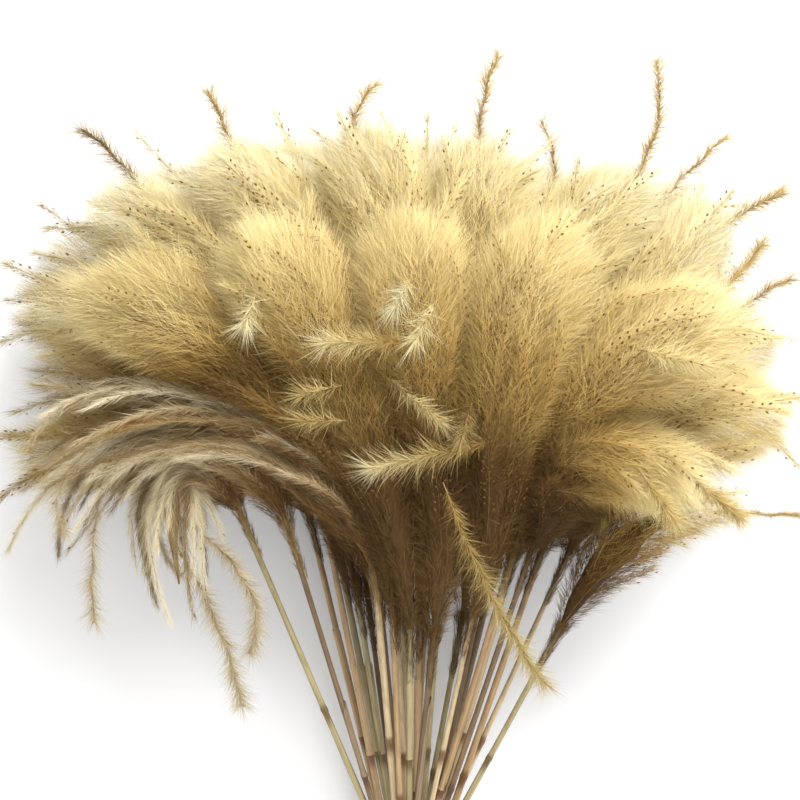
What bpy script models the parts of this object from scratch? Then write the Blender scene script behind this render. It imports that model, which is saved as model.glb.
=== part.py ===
"""A cut and dried bunch of pampas grass, tied with twine and lying on its side. Metres, +Z up."""

import math
from collections import namedtuple

import bmesh
import bpy
import numpy as np
from mathutils import Vector
from mathutils.bvhtree import BVHTree

MM = 0.001

# One pixel of the photograph is half a millimetre, and the tie lies just below its bottom edge.
MM_PER_PX = 0.5
MIDDLE_X_PX = 400
TIE_Y_PX = 880
FOOT_Y_PX = 704

# The bundle of stems, in millimetres from the tie.
STEM_RADIUS = 1.9
STEM_TAPER = 0.78
NODE_SWELLING = 1.22
NODE_LENGTH = 3.0
BUTT_LENGTH = 176.0
BUTT_FLARE = 1.45
BUNDLE_SLOPE = 0.13
WAIST_X = 5.5
WAIST_SQUASH = 0.30
CLEARANCE = 0.35

# The plumes, in millimetres. Each pair is a share of the length and the share of the girth there.
FLUFF_GAP = 1.3
POST_MARGIN = 3.4
FLOOR_SNAP = 1.5
PLUME_SIDES = 8
LINE_POINTS = 61
RING_MARGIN = 3.0
PLUME_PROFILE = ((0.0, 0.09), (0.12, 0.48), (0.30, 0.86), (0.52, 1.0), (0.74, 0.90), (0.90, 0.62),
                 (1.0, 0.08))
FINGERS = 7
FINGER_RINGS = (2, 3, 4, 5)
FINGER_LENGTH = 26.0
FINGER_STEPS = (0.36, 0.72, 1.0)
FINGER_RADII = (5.4, 4.2, 1.2)
THIN_FINGER = 1.6
GOLDEN = 0.618034

# The twine.
TWINE_TURNS = 5
TWINE_PITCH = 2.4
TWINE_DEPTH = 1.7
TWINE_SIDES = 18
KNOT_RADIUS = 3.4
TWINE_END_RADIUS = 1.1

# foot: pixel x where the stem crosses FOOT_Y_PX. base: pixel y and height of the plume's foot.
# shoulder and tip: pixel x, pixel y and height in millimetres. girth: the widest radius.
Stalk = namedtuple("Stalk", "foot base shoulder tip girth")

STALKS = (
    Stalk(351, (515, 35), (200, 410, 29), (30, 372, 24), 36),
    Stalk(366, (560, 35), (212, 330, 29), (40, 256, 26), 38),
    Stalk(380, (604, 34), (260, 278, 29), (132, 186, 27), 38),
    Stalk(405, (590, 34), (338, 258, 29), (268, 152, 28), 38),
    Stalk(421, (600, 34), (424, 252, 29), (428, 142, 28), 38),
    Stalk(449, (632, 35), (508, 266, 29), (576, 190, 28), 38),
    Stalk(465, (575, 34), (590, 300, 29), (688, 190, 27), 38),
    Stalk(505, (560, 35), (650, 376, 28), (784, 342, 24), 38),
    Stalk(359, (520, 64), (186, 440, 76), (22, 462, 68), 33),
    Stalk(373, (592, 62), (190, 360, 88), (26, 304, 84), 38),
    Stalk(390, (572, 66), (236, 288, 92), (96, 210, 92), 38),
    Stalk(400, (604, 65), (302, 254, 94), (206, 168, 96), 38),
    Stalk(418, (616, 65), (384, 244, 94), (352, 144, 98), 38),
    Stalk(432, (598, 66), (464, 252, 94), (498, 160, 98), 38),
    Stalk(459, (570, 68), (548, 282, 93), (638, 188, 96), 38),
    Stalk(475, (560, 67), (630, 330, 90), (716, 212, 90), 38),
    Stalk(492, (552, 65), (662, 420, 80), (786, 424, 70), 35),
    Stalk(320, (510, 101), (158, 456, 116), (196, 668, 70), 24),
    Stalk(341, (530, 101), (150, 414, 134), (58, 552, 98), 26),
    Stalk(386, (585, 92), (186, 400, 144), (26, 496, 120), 34),
    Stalk(396, (606, 92), (222, 350, 150), (86, 300, 144), 36),
    Stalk(410, (628, 90), (312, 338, 156), (252, 250, 172), 36),
    Stalk(427, (640, 89), (408, 334, 156), (412, 234, 172), 36),
    Stalk(454, (618, 92), (500, 344, 156), (556, 236, 172), 36),
    Stalk(469, (556, 97), (600, 370, 150), (726, 318, 144), 36),
    Stalk(521, (634, 84), (640, 520, 114), (738, 510, 98), 15),
    Stalk(481, (548, 99), (574, 436, 148), (694, 496, 122), 30),
)

# Fingers that stand clear of the head: the plume's number, the pixel x, pixel y and height of
# the finger's middle and of its tip, and its radius.
Stray = namedtuple("Stray", "plume middle tip radius")

STRAYS = (
    Stray(17, (224, 640, 96), (240, 708, 74), 5.0),
    Stray(18, (96, 560, 116), (96, 620, 98), 4.5),
    Stray(19, (62, 508, 126), (70, 532, 116), 4.5),
    Stray(17, (254, 596, 112), (250, 654, 90), 4.5),
    Stray(22, (492, 596, 134), (545, 684, 100), 4.0),
    Stray(23, (436, 450, 168), (372, 466, 164), 5.0),
    Stray(22, (366, 344, 184), (326, 346, 190), 5.0),
    Stray(25, (764, 514, 94), (800, 515, 90), 3.0),
    Stray(14, (657, 118, 98), (655, 62, 98), 4.0),
    Stray(13, (484, 98, 98), (497, 58, 98), 4.0),
    Stray(11, (222, 120, 96), (210, 94, 98), 4.0),
    Stray(12, (360, 106, 98), (376, 86, 98), 4.0),
    Stray(10, (106, 148, 90), (84, 130, 92), 4.0),
    Stray(15, (752, 208, 90), (782, 193, 90), 4.5),
    Stray(5, (556, 142, 34), (545, 115, 34), 4.0),
    Stray(6, (712, 150, 32), (735, 130, 32), 4.0),
    Stray(24, (742, 268, 104), (764, 243, 84), 4.0),
    Stray(7, (776, 288, 34), (800, 276, 34), 4.0),
)


def clear_scene():
    for obj in list(bpy.data.objects):
        bpy.data.objects.remove(obj, do_unlink=True)


def collection(name):
    made = bpy.data.collections.new(name)
    bpy.context.scene.collection.children.link(made)
    return made


def photo_point(x_px, y_px, height):
    """A point of the photograph's plane at this height, in millimetres from the tie."""
    return np.array([(x_px - MIDDLE_X_PX) * MM_PER_PX, (TIE_Y_PX - y_px) * MM_PER_PX, height])


# Skeleton.


def stem_radius(number):
    """The stems differ a little in thickness."""
    return STEM_RADIUS * (1.0 + 0.13 * math.sin(2.4 * number))


def foot_points():
    """Where each stem crosses the line FOOT_Y_PX, in millimetres."""
    share = (TIE_Y_PX - FOOT_Y_PX) * MM_PER_PX
    feet = []
    for stalk in STALKS:
        base_y, height = stalk.base
        reach = (TIE_Y_PX - base_y) * MM_PER_PX
        level = BUTT_LENGTH * BUNDLE_SLOPE + STEM_RADIUS * 9
        feet.append(photo_point(stalk.foot, FOOT_Y_PX, level + (height - level) * share / reach))
    return np.array(feet)


def waist_points():
    """The stems' places in the tie: the fan drawn together until each stem touches the next."""
    feet = foot_points()
    offsets = feet[:, [0, 2]] - feet[:, [0, 2]].mean(axis=0)
    offsets *= np.array([WAIST_SQUASH * 0.9, WAIST_SQUASH * 2.2])
    radii = np.array([stem_radius(number) for number in range(len(STALKS))])
    for _ in range(900):
        offsets *= 0.985
        for one in range(len(offsets)):
            apart = offsets - offsets[one]
            distance = np.linalg.norm(apart, axis=1)
            distance[one] = 1e9
            wanted = radii + radii[one] + CLEARANCE
            close = distance < wanted
            push = (wanted - distance)[close] / distance[close]
            offsets[close] += apart[close] * push[:, None] * 0.5
            offsets[one] -= (apart[close] * push[:, None] * 0.5).sum(axis=0)
    return offsets * 1.03


def stem_lines():
    """Each stem as points from its cut end to the foot of its plume."""
    feet = foot_points()
    waist = waist_points()
    spread = waist * BUTT_FLARE
    radii = np.array([stem_radius(number) for number in range(len(STALKS))])
    butt_level = (radii - spread[:, 1]).max()
    tie_level = butt_level + BUTT_LENGTH * BUNDLE_SLOPE
    lines = []
    for number, stalk in enumerate(STALKS):
        cut = BUTT_LENGTH - 5.0 - 5.0 * math.sin(1.7 * number)
        x, z = waist[number]
        tie = np.array([WAIST_X + x, 0.0, tie_level + z])
        butt = np.array([WAIST_X + x * BUTT_FLARE, -cut, 0.0])
        butt[2] = tie_level - cut * BUNDLE_SLOPE + z * BUTT_FLARE
        foot = feet[number]
        reach = (TIE_Y_PX - stalk.base[0]) * MM_PER_PX
        base = tie + (foot - tie) * reach / foot[1]
        base[2] = stalk.base[1]
        points = [butt, butt + (tie - butt) * 0.93, tie]
        points.append(tie + (base - tie) * 0.10)
        points.append(tie + (base - tie) * 0.55)
        points.append(base)
        lines.append(np.array(points))
    return lines


def plume_lines(stems):
    """Each plume's centre line: it leaves in the stem's direction and bends over its shoulder."""
    lines = []
    for stem, stalk in zip(stems, STALKS):
        start = stem[-1]
        away = stem[-1] - stem[-2]
        away /= np.linalg.norm(away)
        start = start + away * CLEARANCE
        shoulder = photo_point(*stalk.shoulder)
        tip = photo_point(*stalk.tip)
        first = start + away * np.linalg.norm(shoulder - start) * 0.55
        second = shoulder + (shoulder - 0.5 * (start + tip)) * 0.45
        t = np.linspace(0.0, 1.0, LINE_POINTS)[:, None]
        line = (1 - t) ** 3 * start + 3 * (1 - t) ** 2 * t * first
        line = line + 3 * (1 - t) * t**2 * second + t**3 * tip
        lines.append(line)
    return lines


def stray_line(stray):
    t = np.linspace(0.0, 1.0, 12)[:, None]
    middle, tip = photo_point(*stray.middle), photo_point(*stray.tip)
    return 2 * middle - tip + (tip - middle) * 2 * t


def directions(line):
    ahead = np.gradient(line, axis=0)
    return ahead / np.linalg.norm(ahead, axis=1)[:, None]


def across(ahead):
    """Two directions square to this one, the second as near upright as it can be."""
    side = unit(np.cross(ahead, [0.0, 0.0, 1.0]))
    return side, np.cross(side, ahead)


# Room between neighbours.


class Room:
    """The space that one plume may fill: up to halfway to its neighbours, and above the table."""

    def __init__(self, number, plumes, stems):
        near = [line for other, line in enumerate(plumes) if other != number]
        near += [stray_line(stray) for stray in STRAYS if stray.plume != number]
        self.own = plumes[number]
        self.near = np.concatenate(near)
        steps = np.linspace(0.0, 1.0, 25)[:, None]
        posts = [stem for other, stem in enumerate(stems) if other != number]
        self.posts = np.concatenate([stem[-3] + (stem[-1] - stem[-3]) * steps for stem in posts])

    def reach(self, centre, out, anchor):
        """How far a point may go from centre in this direction, seen from the anchor."""
        to = self.near - anchor
        apart = np.linalg.norm(to, axis=1)
        left = 0.5 * apart**2 - FLUFF_GAP * 0.5 * apart - to @ (centre - anchor)
        to_post = self.posts - anchor
        apart = np.linalg.norm(to_post, axis=1)
        left_post = apart**2 - POST_MARGIN * apart - to_post @ (centre - anchor)
        facing = np.concatenate([to @ out, to_post @ out])
        left = np.concatenate([left, left_post])
        ahead = facing > 1e-6
        most = (left[ahead] / facing[ahead]).min() if ahead.any() else 1e9
        if out[2] < 0:
            most = min(most, centre[2] / -out[2])
        return max(most, 0.4)

    def holds(self, point, radius):
        """Whether a ball of this radius at the point lies in the plume's own space."""
        if point[2] < radius:
            return False
        anchor = self.own[np.linalg.norm(self.own - point, axis=1).argmin()]
        out = point - anchor
        far = np.linalg.norm(out)
        return self.reach(anchor, out / far, anchor) > far + radius


# Plumes.


class Plume:
    """A core of rings along the centre line, and fingers that grow out of its faces."""

    def __init__(self, number, line, room):
        self.number = number
        self.line = line
        self.ahead = directions(line)
        self.room = room
        self.ease = [1.0] * len(PLUME_PROFILE)
        self.fingers = []

    def core(self):
        girth = STALKS[self.number].girth
        rings = []
        for (_, swell), ease in zip(PLUME_PROFILE, self.ease):
            at = station(len(rings))
            centre = self.line[at]
            side, up = across(self.ahead[at])
            ring = []
            for step in range(PLUME_SIDES):
                angle = 2 * math.pi * (step + 0.5) / PLUME_SIDES
                out = math.cos(angle) * side + math.sin(angle) * up
                most = min(self.room.reach(centre, out, centre), self.own_reach(len(rings), out))
                most *= ease
                point = centre + out * min(girth * swell, most)
                if point[2] < FLOOR_SNAP:
                    point[2] = 0.0
                ring.append(point)
            rings.append(ring)
        return rings

    def own_reach(self, ring, out):
        """How far a ring may go in this direction before it crosses the rings beside it."""
        centre = self.line[station(ring)]
        most = 1e9
        for other in (ring - 1, ring + 1):
            if 0 <= other < len(PLUME_PROFILE):
                at = station(other)
                facing = (other - ring) * (out @ self.ahead[at])
                left = (other - ring) * ((self.line[at] - centre) @ self.ahead[at])
                if facing > 1e-6:
                    most = min(most, (left - RING_MARGIN) / facing)
        return most

    def grow_fingers(self):
        """Fingers stand on faces past the widest ring, where there is room for them."""
        rings = self.core()
        for stray in STRAYS:
            if stray.plume == self.number:
                self.fingers.append(self.stray_finger(stray, rings))
        spots = [(ring, side) for ring in FINGER_RINGS for side in range(PLUME_SIDES)]
        order = sorted(spots, key=lambda s: (GOLDEN * (s[0] * 5 + s[1] * 3 + self.number)) % 1.0)
        for ring, side in order:
            if len(self.fingers) >= FINGERS:
                break
            if any(beside(ring, side, other) for other in self.fingers):
                continue
            finger = self.rule_finger(ring, side, rings)
            if finger:
                self.fingers.append(finger)

    def rule_finger(self, ring, side, rings):
        corners = face_corners(rings, ring, side)
        start = corners.mean(axis=0)
        at = station(ring)
        ahead = self.ahead[at]
        out = start - self.line[at]
        out -= ahead * (out @ ahead)
        out /= np.linalg.norm(out)
        wanted = FINGER_LENGTH * (0.75 + 0.5 * ((GOLDEN * (7 * ring + side)) % 1.0))
        for length in (wanted, wanted * 0.75, wanted * 0.55):
            points = [start + length * (t * 0.90 * ahead + (0.72 * t - 0.30 * t * t) * out)
                      for t in FINGER_STEPS]
            if all(self.room.holds(p, r) for p, r in zip(points, FINGER_RADII)):
                return Finger(ring, side, points, list(FINGER_RADII))
        return None

    def stray_finger(self, stray, rings):
        """A long finger from a free face that is near its middle and faces it."""
        middle, tip = photo_point(*stray.middle), photo_point(*stray.tip)
        best = None
        for ring in range(len(rings) - 1):
            for side in range(PLUME_SIDES):
                start = face_corners(rings, ring, side).mean(axis=0)
                out = unit(start - 0.5 * (self.line[station(ring)] + self.line[station(ring + 1)]))
                leaving = unit(through(start, middle, tip, FINGER_STEPS)[0] - start)
                cost = np.linalg.norm(start - middle) * (1.6 - leaving @ out)
                taken = any(beside(ring, side, other) for other in self.fingers)
                if not taken and (best is None or cost < best[0]):
                    best = (cost, ring, side, start)
        _, ring, side, start = best
        points = through(start, middle, tip, FINGER_STEPS)
        return Finger(ring, side, points, [stray.radius * share for share in (1.0, 0.9, 0.35)])

    def surface(self):
        """Points, faces and, for each face, the finger or the ring of the core it is on."""
        rings = self.core()
        count = PLUME_SIDES
        points = [point for ring in rings for point in ring]
        faces, source = [], []
        taken = {(finger.ring, finger.side) for finger in self.fingers}
        for ring in range(len(rings) - 1):
            for side in range(count):
                a, b, c, d = corner_numbers(ring, side)
                if (ring, side) not in taken:
                    faces += [(a, b, c), (a, c, d)]
                    source += [("core", ring)] * 2
        last = (len(rings) - 1) * count
        for side in range(1, count - 1):
            faces += [(0, side, side + 1), (last, last + side, last + side + 1)]
            source += [("core", 0), ("core", len(rings) - 2)]
        for number, finger in enumerate(self.fingers):
            before = corner_numbers(finger.ring, finger.side)
            for section in finger.sections(rings):
                here = list(range(len(points), len(points) + 4))
                points += section
                for one in range(4):
                    two = (one + 1) % 4
                    faces.append((before[one], before[two], here[two]))
                    faces.append((before[one], here[two], here[one]))
                before = here
            faces += [(before[0], before[1], before[2]), (before[0], before[2], before[3])]
            source += [("finger", number)] * (8 * len(finger.points) + 2)
        return points, faces, source

    def crossed_fingers(self):
        """Fingers that meet the core or an earlier finger away from where they join."""
        points, faces, source = self.surface()
        tree = BVHTree.FromPolygons([Vector(point) for point in points], faces)
        found = set()
        for one, two in tree.overlap(tree):
            if not set(faces[one]) & set(faces[two]):
                fingers = [number for kind, number in (source[one], source[two]) if kind == "finger"]
                found.update([max(fingers)] if fingers else [])
        return found

    def give_way(self, kind, number):
        """Eases back where this plume meets a neighbour."""
        if kind == "core":
            for near in (number, number + 1):
                self.ease[near] *= 0.93
        else:
            self.fingers[number].draw_in()


class Finger:
    """One finger: the face of the core that it stands on, and the middles of its sections."""

    def __init__(self, ring, side, points, radii):
        self.ring = ring
        self.side = side
        self.points = points
        self.radii = radii

    def sections(self, rings):
        corners = face_corners(rings, self.ring, self.side)
        along = corners[2] + corners[3] - corners[0] - corners[1]
        wide = corners[1] + corners[2] - corners[0] - corners[3]
        path = [corners.mean(axis=0), *self.points]
        made = []
        for step, radius in enumerate(self.radii):
            ahead = path[min(step + 2, len(path) - 1)] - path[step]
            ahead /= np.linalg.norm(ahead)
            across_it, over = finger_frame(ahead, wide, along)
            section = [path[step + 1] + radius * (a * across_it + b * over)
                       for a, b in ((-0.8, -0.8), (0.8, -0.8), (0.8, 0.8), (-0.8, 0.8))]
            for point in section:
                point[2] = max(point[2], 0.0)
            made.append(section)
        return made

    def draw_in(self):
        self.radii = [radius * 0.85 for radius in self.radii]


def station(ring):
    """The point of the centre line that a ring of the core stands on."""
    return int(round(PLUME_PROFILE[ring][0] * (LINE_POINTS - 1)))


def through(start, middle, tip, shares):
    """Points of the smooth line from start through middle to tip."""
    first = np.linalg.norm(middle - start)
    at = first / (first + np.linalg.norm(tip - middle))
    points = []
    for t in shares:
        to_start = (t - at) * (t - 1) / at
        to_middle = t * (t - 1) / (at * (at - 1))
        to_tip = t * (t - at) / (1 - at)
        points.append(start * to_start + middle * to_middle + tip * to_tip)
    return points


def unit(vector):
    return vector / np.linalg.norm(vector)


def finger_frame(ahead, wide, along):
    """Two directions square to the finger, turned as the face that it stands on."""
    wide, along = unit(wide), unit(along)
    if abs(wide @ ahead) <= abs(along @ ahead):
        across_it = unit(wide - ahead * (wide @ ahead))
        return across_it, np.cross(across_it, ahead)
    over = unit(along - ahead * (along @ ahead))
    return np.cross(ahead, over), over


def corner_numbers(ring, side):
    after = (side + 1) % PLUME_SIDES
    here, there = ring * PLUME_SIDES, (ring + 1) * PLUME_SIDES
    return here + side, here + after, there + after, there + side


def face_corners(rings, ring, side):
    after = (side + 1) % PLUME_SIDES
    here, there = rings[ring], rings[ring + 1]
    return np.array([here[side], here[after], there[after], there[side]])


def beside(ring, side, finger):
    turn = abs(side - finger.side)
    return abs(ring - finger.ring) + min(turn, PLUME_SIDES - turn) < 2


def stem_tree(line, radius):
    """A stem as a slightly fat square tube, to keep plumes off it."""
    ahead = directions(line)
    points, faces = [], []
    for number, point in enumerate(line):
        side, up = across(ahead[number])
        fat = radius * 1.1 + 0.5
        back = ahead[number] * (0.6 if number == len(line) - 1 else 0.0)
        points += [point - back + fat * out for out in (side, up, -side, -up)]
    for first in range(0, len(points) - 4, 4):
        for one in range(4):
            two = (one + 1) % 4
            faces.append((first + one, first + two, first + two + 4, first + one + 4))
    return BVHTree.FromPolygons([Vector(point) for point in points], faces)


def settle(plumes, stems):
    """Eases each plume back wherever it meets itself, a neighbour or another plume's stem."""
    for plume in plumes:
        crossed = plume.crossed_fingers()
        plume.fingers = [f for n, f in enumerate(plume.fingers) if n not in crossed]
    posts = [stem_tree(line[2:], stem_radius(number)) for number, line in enumerate(stems)]
    for _ in range(30):
        made = [plume.surface() for plume in plumes]
        trees = [BVHTree.FromPolygons([Vector(p) for p in points], faces) for points, faces, _ in made]
        met = set()
        for one, tree in enumerate(trees):
            for here, there in tree.overlap(tree):
                if not set(made[one][1][here]) & set(made[one][1][there]):
                    met.add((one, made[one][2][here]))
            for other in range(one + 1, len(trees)):
                for here, there in tree.overlap(trees[other]):
                    met.add((one, made[one][2][here]))
                    met.add((other, made[other][2][there]))
            for other, post in enumerate(posts):
                if other != one:
                    met.update((one, made[one][2][here]) for here, _ in tree.overlap(post))
        if not met:
            return
        for plume, (kind, number) in sorted(met):
            plumes[plume].give_way(kind, number)
        for plume in plumes:
            plume.fingers = [f for f in plume.fingers if f.radii[0] > THIN_FINGER]


def plume_object(plume, parts):
    points, faces, _ = plume.surface()
    name = f"plume_{plume.number + 1:02d}"
    made = bmesh.new()
    verts = [made.verts.new(Vector(point) * MM) for point in points]
    for face in faces:
        made.faces.new([verts[corner] for corner in face])
    bmesh.ops.recalc_face_normals(made, faces=made.faces)
    mesh = bpy.data.meshes.new(name)
    made.to_mesh(mesh)
    made.free()
    obj = bpy.data.objects.new(name, mesh)
    parts.objects.link(obj)
    return obj


def hide_helper(obj):
    obj.hide_render = True
    obj.display_type = "WIRE"


def curve_object(name, points, radii, holder):
    """A round rod through these points, with its own radius at each."""
    curve = bpy.data.curves.new(name, "CURVE")
    curve.dimensions = "3D"
    curve.bevel_depth = 1.0 * MM
    curve.bevel_resolution = 1
    curve.use_fill_caps = True
    curve.twist_mode = "Z_UP"
    spline = curve.splines.new("POLY")
    spline.points.add(len(points) - 1)
    for spot, point, radius in zip(spline.points, points, radii):
        spot.co = (*(point * MM), 1.0)
        spot.radius = radius
    obj = bpy.data.objects.new(name, curve)
    holder.objects.link(obj)
    return obj


def stem_object(number, line, parts):
    """A stem from its cut end to its plume, thinner upwards, with one swollen joint."""
    radius = stem_radius(number)
    lengths = np.concatenate([[0.0], np.cumsum(np.linalg.norm(np.diff(line, axis=0), axis=1))])
    total = lengths[-1]
    joint = lengths[3] + (total - lengths[3]) * (0.30 + 0.14 * math.sin(3.1 * number))
    stops = sorted([*lengths, joint - NODE_LENGTH, joint, joint + NODE_LENGTH])
    stops = [stop for stop in stops if stop in (joint, joint - NODE_LENGTH, joint + NODE_LENGTH)
             or abs(stop - joint) > 2 * NODE_LENGTH or stop in (lengths[0], total)]
    points = np.array([[np.interp(stop, lengths, line[:, axis]) for axis in range(3)] for stop in stops])
    radii = [radius * (1 - (1 - STEM_TAPER) * stop / total) for stop in stops]
    radii[stops.index(joint)] *= NODE_SWELLING
    return curve_object(f"stem_{number + 1:02d}", points, radii, parts)


def twine_object(stems, parts, helpers):
    """Twine wound round the waist of the bundle, knotted on top."""
    half = TWINE_TURNS * TWINE_PITCH / 2
    middle = np.array([line[2] for line in stems]).mean(axis=0)
    outer = []
    for number, line in enumerate(stems):
        for y in (-half - 1, 0.0, half + 1):
            x = np.interp(y, line[:, 1], line[:, 0])
            z = np.interp(y, line[:, 1], line[:, 2])
            outer.append((x, z, stem_radius(number)))
    outer = np.array(outer)
    rows = []
    for turn in range(2 * TWINE_TURNS + 1):
        y = -half + turn * TWINE_PITCH / 2
        rows.append((y, TWINE_DEPTH if turn % 2 else TWINE_DEPTH * 0.35))
    profile = [(-half, 0.0), *rows, (half, 0.0)]
    made = bmesh.new()
    rings = []
    for side in range(TWINE_SIDES):
        angle = 2 * math.pi * side / TWINE_SIDES
        out = np.array([math.cos(angle), math.sin(angle)])
        inner = ((outer[:, :2] - middle[[0, 2]]) @ out + outer[:, 2]).max() + CLEARANCE
        inner /= math.cos(math.pi / TWINE_SIDES)
        ring = []
        for y, depth in profile:
            x, z = middle[[0, 2]] + out * (inner + depth)
            ring.append(made.verts.new(Vector((x, y, z)) * MM))
        rings.append(ring)
    count = len(profile)
    for ring, following in zip(rings, rings[1:] + rings[:1]):
        for step in range(count):
            after = (step + 1) % count
            made.faces.new((ring[step], ring[after], following[after], following[step]))
    bmesh.ops.triangulate(made, faces=made.faces)
    bmesh.ops.recalc_face_normals(made, faces=made.faces)
    mesh = bpy.data.meshes.new("twine")
    made.to_mesh(mesh)
    top = max(vert.co.z for vert in made.verts) / MM
    made.free()
    obj = bpy.data.objects.new("twine", mesh)
    parts.objects.link(obj)
    knot_at = np.array([middle[0], 0.0, top + 1.2])
    join(obj, knot_object(knot_at, helpers))
    for name, turn in (("twine_end_1", 0.5), ("twine_end_2", -0.9)):
        join(obj, twine_end(name, knot_at, turn, helpers))
    return obj


def knot_object(centre, helpers):
    mesh = bpy.data.meshes.new("knot")
    made = bmesh.new()
    bmesh.ops.create_icosphere(made, subdivisions=1, radius=KNOT_RADIUS * MM)
    for vert in made.verts:
        vert.co = Vector(centre * MM) + vert.co
    made.to_mesh(mesh)
    made.free()
    obj = bpy.data.objects.new("knot", mesh)
    helpers.objects.link(obj)
    hide_helper(obj)
    return obj


def twine_end(name, start, turn, helpers):
    """One of the two loose ends, which curves down over the turns."""
    side = np.array([math.sin(turn), math.cos(turn), 0.0])
    points = [start, start + side * 8 + [0, 0, 2.0], start + side * 17 + [0, 0, 1.0]]
    curve = curve_object(name + "_line", points, [TWINE_END_RADIUS] * 3, helpers)
    hide_helper(curve)
    return meshed(curve, name, helpers)


def meshed(curve, name, helpers):
    graph = bpy.context.evaluated_depsgraph_get()
    mesh = bpy.data.meshes.new_from_object(curve.evaluated_get(graph))
    made = bmesh.new()
    made.from_mesh(mesh)
    bmesh.ops.remove_doubles(made, verts=made.verts, dist=1e-6)
    bmesh.ops.recalc_face_normals(made, faces=made.faces)
    made.to_mesh(mesh)
    made.free()
    obj = bpy.data.objects.new(name, mesh)
    helpers.objects.link(obj)
    hide_helper(obj)
    return obj


def join(obj, other):
    joined = obj.modifiers.new(other.name, "BOOLEAN")
    joined.operation = "UNION"
    joined.solver = "EXACT"
    joined.object = other


# Materials.


def material(name, colour, roughness):
    made = bpy.data.materials.new(name)
    made.use_nodes = True
    shader = made.node_tree.nodes["Principled BSDF"]
    shader.inputs["Base Color"].default_value = (*colour, 1.0)
    shader.inputs["Roughness"].default_value = roughness
    made.diffuse_color = (*colour, 1.0)
    return made


def fluff(number):
    """Golden cream above, browner in the plumes underneath."""
    light = np.array([0.80, 0.67, 0.40])
    brown = np.array([0.46, 0.34, 0.18])
    share = 0.25 + 0.25 * math.sin(1.9 * number)
    return material(f"plume_fluff_{number + 1:02d}", light + (brown - light) * share, 0.9)


def straw(number):
    """Tan straw, some of it olive and some dark brown."""
    tones = ([0.52, 0.36, 0.19], [0.50, 0.41, 0.19], [0.17, 0.10, 0.045], [0.62, 0.47, 0.27])
    return material(f"stem_straw_{number + 1:02d}", tones[(number * 5) % 4], 0.55)


def jute():
    return material("twine_jute", [0.36, 0.24, 0.12], 0.95)


def centre_on_base(collections):
    """Moves all of it so that the origin is under the middle of its box, on the table."""
    bpy.context.view_layer.update()
    graph = bpy.context.evaluated_depsgraph_get()
    corners = []
    for obj in collections[0].objects:
        shape = obj.evaluated_get(graph)
        mesh = shape.to_mesh()
        corners += [list(vert.co) for vert in mesh.vertices]
        shape.to_mesh_clear()
    low, high = np.min(corners, axis=0), np.max(corners, axis=0)
    shift = Vector((-(low[0] + high[0]) / 2, -(low[1] + high[1]) / 2, -low[2]))
    for holder in collections:
        for obj in holder.objects:
            obj.location = shift


def build():
    clear_scene()
    parts = collection("pampas_grass_bunch")
    helpers = collection("helpers")
    helpers.hide_render = True
    stems = stem_lines()
    lines = plume_lines(stems)
    plumes = [Plume(n, line, Room(n, lines, stems)) for n, line in enumerate(lines)]
    for plume in plumes:
        plume.grow_fingers()
    settle(plumes, stems)
    for number, line in enumerate(stems):
        stem_object(number, line, parts).data.materials.append(straw(number))
    for plume in plumes:
        plume_object(plume, parts).data.materials.append(fluff(plume.number))
    twine_object(stems, parts, helpers).data.materials.append(jute())
    centre_on_base((parts, helpers))


build()
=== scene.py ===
"""The looks of a dried pampas grass bunch: silky plumes, straw stems and a jute tie."""

import math
from collections import namedtuple

import bpy
import numpy as np
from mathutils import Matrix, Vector
from mathutils.bvhtree import BVHTree
from numpy.linalg import norm


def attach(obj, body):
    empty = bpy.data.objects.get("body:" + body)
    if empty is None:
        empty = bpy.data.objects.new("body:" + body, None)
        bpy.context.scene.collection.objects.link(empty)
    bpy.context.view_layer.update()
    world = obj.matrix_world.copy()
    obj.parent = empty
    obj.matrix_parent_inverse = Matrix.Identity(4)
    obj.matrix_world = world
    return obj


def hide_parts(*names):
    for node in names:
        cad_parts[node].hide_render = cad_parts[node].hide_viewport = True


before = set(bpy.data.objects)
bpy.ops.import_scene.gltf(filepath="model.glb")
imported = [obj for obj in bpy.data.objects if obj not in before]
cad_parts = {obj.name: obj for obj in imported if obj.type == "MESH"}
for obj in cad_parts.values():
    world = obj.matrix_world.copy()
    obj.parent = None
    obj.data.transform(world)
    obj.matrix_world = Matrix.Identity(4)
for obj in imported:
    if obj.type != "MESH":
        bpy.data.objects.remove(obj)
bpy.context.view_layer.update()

MM = 0.001
GOLDEN = 0.618034
# The lowest that a point of the bunch may lie, in metres, just clear of the table.
LOWEST = 0.0002
UP = np.array([0.0, 0.0, 1.0])

# One pixel of the photograph is half a millimetre. Lengths are in millimetres from the tie, and
# SHIFT leads from the tie to the middle of the model's base.
MM_PER_PX = 0.5
MIDDLE_X_PX = 400
MIDDLE_Y_PX = 400
TIE_Y_PX = 880
FOOT_Y_PX = 704
SHIFT = np.array([-5.17, -117.58, 0.0])

# The bundle of stems, as in the solids. The butts are the stems' lower ends, below the tie.
STEM_RADIUS = 1.9
STEM_TAPER = 0.78
JOINT_SWELLING = 1.22
BUTT_LENGTH = 176.0
BUTT_FLARE = 1.45
UNEVEN_CUT = 5.0
BUNDLE_SLOPE = 0.13
CLEARANCE = 0.35
TWINE_TURNS = 5
TWINE_PITCH = 2.4
TWINE_END = 17.5
TWINE_RADIUS = 1.25
PLY_RADIUS = 0.62
PLY_TWIST = 5.5

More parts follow.
